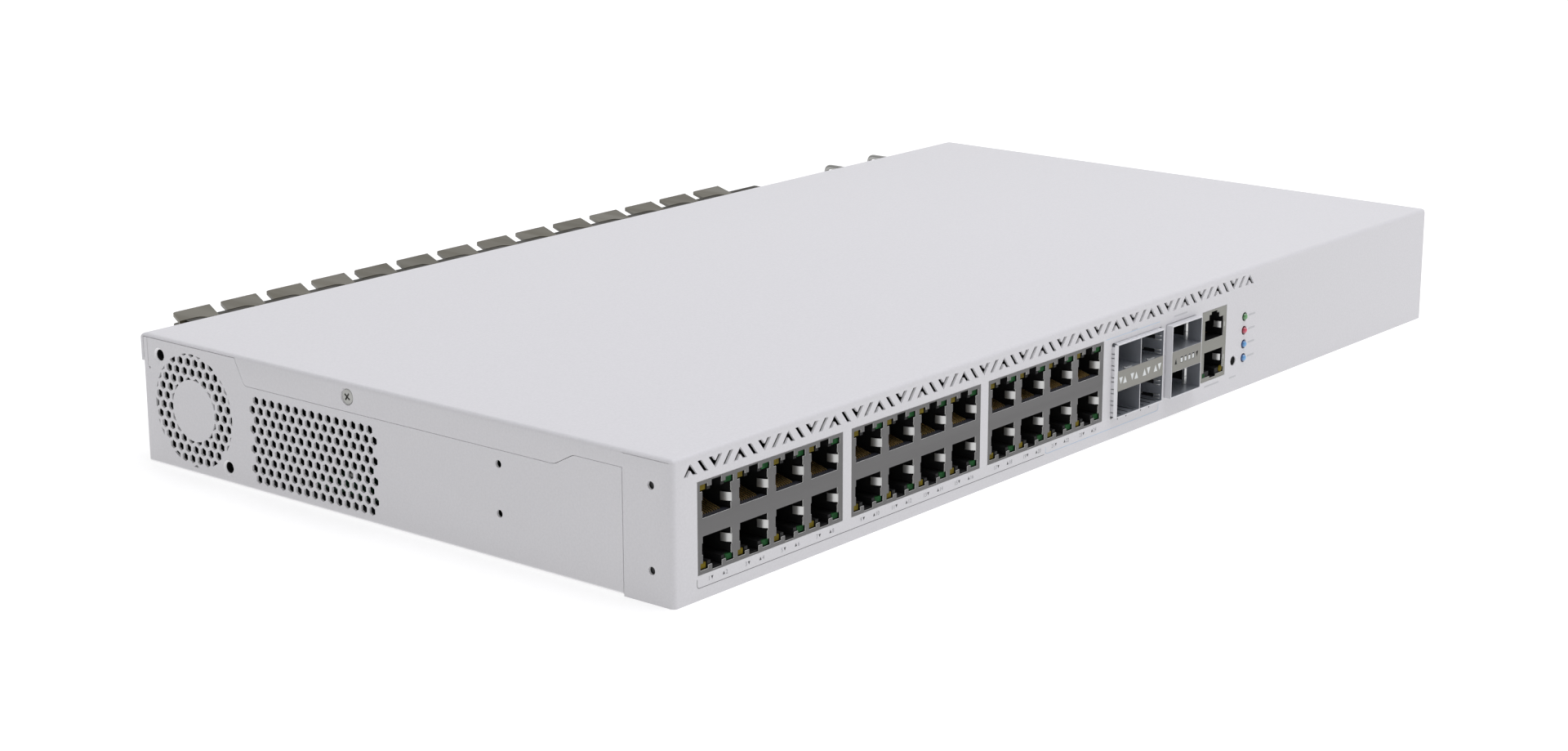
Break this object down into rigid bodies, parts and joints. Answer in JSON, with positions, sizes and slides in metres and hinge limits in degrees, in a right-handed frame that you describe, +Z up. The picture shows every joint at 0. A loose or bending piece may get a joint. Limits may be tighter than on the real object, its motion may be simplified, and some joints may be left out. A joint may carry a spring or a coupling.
{
  "type": "rackmount network switch",
  "caption": "Flat folded-steel network switch with rows of copper ports, pluggable module cages, twin rear power inlets and a finned rear heat sink.",
  "frame": {"origin": "centre of the base tray's underside", "axes": "+X to the right along the front panel as a user sees it, +Y from the front panel to the rear, +Z up"},
  "size_m": [0.443, 0.2593, 0.0437],
  "materials": {
    "powder_coat": "satin, very fine texture",
    "jack_metal": "nickel-plated sheet, satin",
    "cage_metal": "bright plated sheet",
    "black_plastic": "moulded, satin",
    "sink_metal": "plated sheet, satin",
    "copper": "drawn copper, satin",
    "aluminium": "extruded, satin",
    "zinc_steel": "zinc-plated, satin",
    "board": "solder mask, satin",
    "chip": "epoxy, matte",
    "lens_white": "clear moulding, polished",
    "lens_green": "tinted, polished",
    "lens_red": "tinted, polished",
    "lens_blue": "tinted, polished",
    "winding_tape": "tape, satin",
    "insulator": "nylon, satin",
    "lead_black": "insulation, satin",
    "lead_red": "insulation, satin"
  },
  "bodies": {
    "chassis": {"top_cover": "powder_coat", "base_tray": "powder_coat", "cover_screw_left": "zinc_steel", "cover_screw_right": "zinc_steel", "rear_cover_screw_1": "zinc_steel", "rear_cover_screw_2": "zinc_steel", "stacked_jack_shield": "jack_metal", "stacked_jack_housing": "black_plastic", "small_module_cage": "cage_metal", "small_module_light_pipe": "lens_white", "large_module_cage": "cage_metal", "large_module_light_pipe": "lens_white", "status_led_green": "lens_green", "status_led_red": "lens_red", "status_led_blue_upper": "lens_blue", "status_led_blue_lower": "lens_blue", "status_led_holder": "black_plastic", "reset_switch": "zinc_steel", "main_board": "board", "switch_chip": "chip", "cold_plate": "copper", "processor_chip": "chip", "processor_heat_sink": "aluminium", "heat_pipe_left": "copper", "heat_pipe_centre": "copper", "heat_pipe_right": "copper", "rear_heat_sink": "sink_metal", "heat_sink_screw_1": "zinc_steel", "heat_sink_screw_2": "zinc_steel", "fan_frame": "black_plastic", "ground_screw": "zinc_steel", "fan_plug": "insulator", "fan_lead": "lead_black", "supply_plug": "insulator", "port_block_1_shield": "jack_metal", "port_block_1_housing": "black_plastic", "port_block_2_shield": "jack_metal", "port_block_2_housing": "black_plastic", "port_block_3_shield": "jack_metal", "port_block_3_housing": "black_plastic", "board_screw_1": "zinc_steel", "board_screw_2": "zinc_steel", "board_screw_3": "zinc_steel", "board_screw_4": "zinc_steel", "supply_a_board": "board", "supply_a_transformer": "winding_tape", "supply_a_capacitor": "chip", "power_inlet_a": "black_plastic", "mains_lead_a": "lead_black", "supply_lead_a": "lead_red", "supply_b_board": "board", "supply_b_transformer": "winding_tape", "supply_b_capacitor": "chip", "power_inlet_b": "black_plastic", "mains_lead_b": "lead_black", "supply_lead_b": "lead_red"},
    "impeller": {"fan_impeller": "black_plastic"},
    "reset": {"reset_button": "black_plastic"},
    "retainer_a": {"cord_retainer_a": "zinc_steel"},
    "retainer_b": {"cord_retainer_b": "zinc_steel"}
  },
  "joints": [
    {"name": "fan_spin", "type": "hinge", "parent": "chassis", "child": "impeller", "pos_m": [-0.2102, 0.09125, 0.0212], "axis": [1, 0, 0], "continuous": true},
    {"name": "reset_press", "type": "slide", "parent": "chassis", "child": "reset", "axis": [0, 1, 0], "range_m": [0, 0.0005], "stiffness_N_per_m": 2000},
    {"name": "cord_retainer_a_swing", "type": "hinge", "parent": "chassis", "child": "retainer_a", "pos_m": [0.1655, 0.1182, 0.0213], "axis": [0, 0, 1], "range_deg": [0, 85]},
    {"name": "cord_retainer_b_swing", "type": "hinge", "parent": "chassis", "child": "retainer_b", "pos_m": [0.1955, 0.1182, 0.0213], "axis": [0, 0, 1], "range_deg": [-85, 0]}
  ]
}
